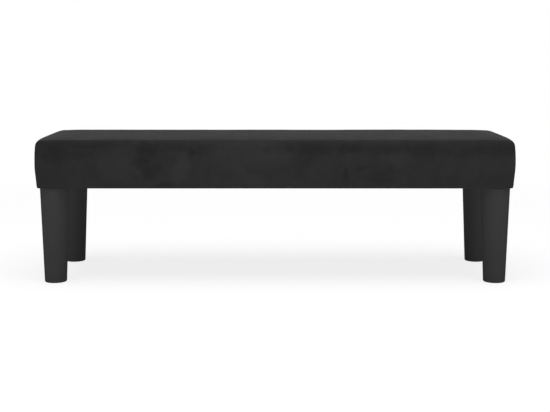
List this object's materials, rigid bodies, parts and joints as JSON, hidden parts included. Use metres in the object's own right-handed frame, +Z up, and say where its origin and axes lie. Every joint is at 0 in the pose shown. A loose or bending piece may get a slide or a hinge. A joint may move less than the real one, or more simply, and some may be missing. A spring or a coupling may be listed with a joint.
{
  "type": "velvet bench",
  "caption": "Long padded seat block covered in black velvet on round tapered black legs, low enough for a bed end, hallway or dressing table.",
  "frame": {"origin": "on the floor under the middle of the seat", "axes": "+Z up, +X along the seat to its right end seen from the front, -Y towards the front"},
  "size_m": [1, 0.3, 0.2999],
  "materials": {
    "velvet": "matt short pile",
    "fibre": "matt",
    "foam": "matt",
    "plywood": "sanded, bare",
    "lining": "matt non-woven",
    "leg_plastic": "satin",
    "glide_plastic": "matt",
    "zinc_steel": "zinc plated",
    "staple_steel": "bright"
  },
  "bodies": {
    "root": {"velvet_cover": "velvet", "fibre_wadding": "fibre", "seat_foam": "foam", "front_side_foam": "foam", "rear_side_foam": "foam", "left_end_foam": "foam", "right_end_foam": "foam", "seat_board": "plywood", "front_rail": "plywood", "rear_rail": "plywood", "left_end_rail": "plywood", "right_end_rail": "plywood", "centre_brace": "plywood", "dust_cover": "lining", "frame_screws": "zinc_steel", "board_nails": "zinc_steel", "cover_staples": "staple_steel", "dust_cover_staples": "staple_steel", "corner_block_front_left": "plywood", "tee_nut_front_left": "zinc_steel", "leg_front_left": "leg_plastic", "leg_bolt_front_left": "zinc_steel", "foot_glide_front_left": "glide_plastic", "corner_block_front_right": "plywood", "tee_nut_front_right": "zinc_steel", "leg_front_right": "leg_plastic", "leg_bolt_front_right": "zinc_steel", "foot_glide_front_right": "glide_plastic", "corner_block_rear_left": "plywood", "tee_nut_rear_left": "zinc_steel", "leg_rear_left": "leg_plastic", "leg_bolt_rear_left": "zinc_steel", "foot_glide_rear_left": "glide_plastic", "corner_block_rear_right": "plywood", "tee_nut_rear_right": "zinc_steel", "leg_rear_right": "leg_plastic", "leg_bolt_rear_right": "zinc_steel", "foot_glide_rear_right": "glide_plastic"}
  },
  "joints": []
}
